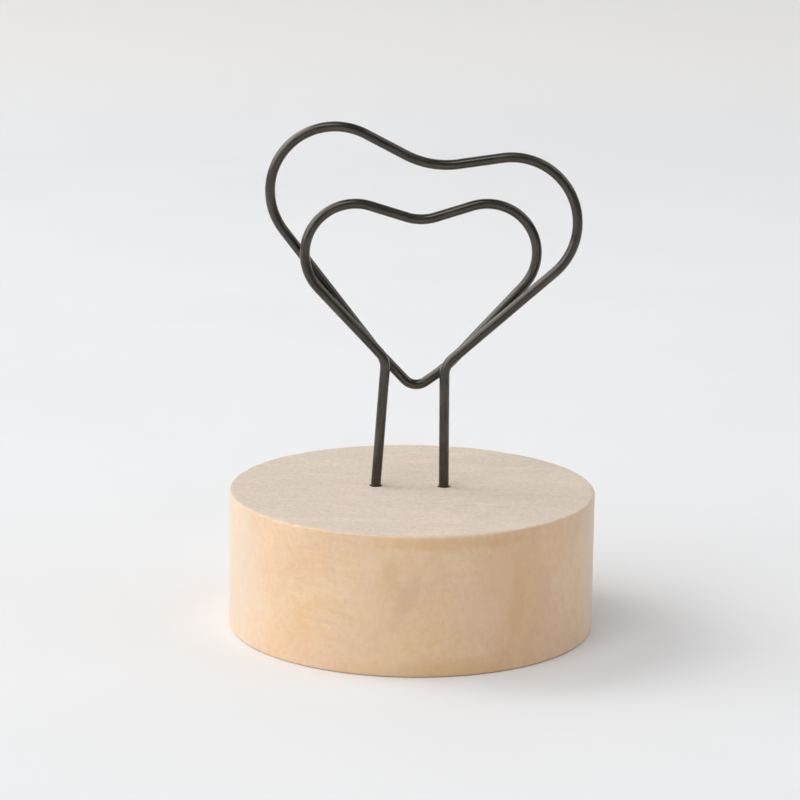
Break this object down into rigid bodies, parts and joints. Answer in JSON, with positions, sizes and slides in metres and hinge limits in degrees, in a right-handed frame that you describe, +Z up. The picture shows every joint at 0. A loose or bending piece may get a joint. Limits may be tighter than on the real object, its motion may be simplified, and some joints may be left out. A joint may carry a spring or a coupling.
{
  "type": "wooden photo block holder",
  "caption": "Round wooden block carrying a bent wire clip, shaped as one heart inside another, that grips a photo or card upright.",
  "frame": {"origin": "middle of the block's underside", "axes": "+Z up, the hearts face -Y and spread along X, +X to the right seen from the front"},
  "size_m": [0.045, 0.045, 0.0622],
  "materials": {
    "wood": "raw pale wood, sawn across the top and smooth round the side",
    "wire": "dark antique bronze finish on steel wire, softly glossy"
  },
  "bodies": {
    "block": {"wood_block": "wood"},
    "clip": {"wire_clip": "wire"}
  },
  "joints": [
    {"name": "clip_lift", "type": "slide", "parent": "block", "child": "clip", "axis": [0, 0, 1], "range_m": [0, 0.01]}
  ]
}
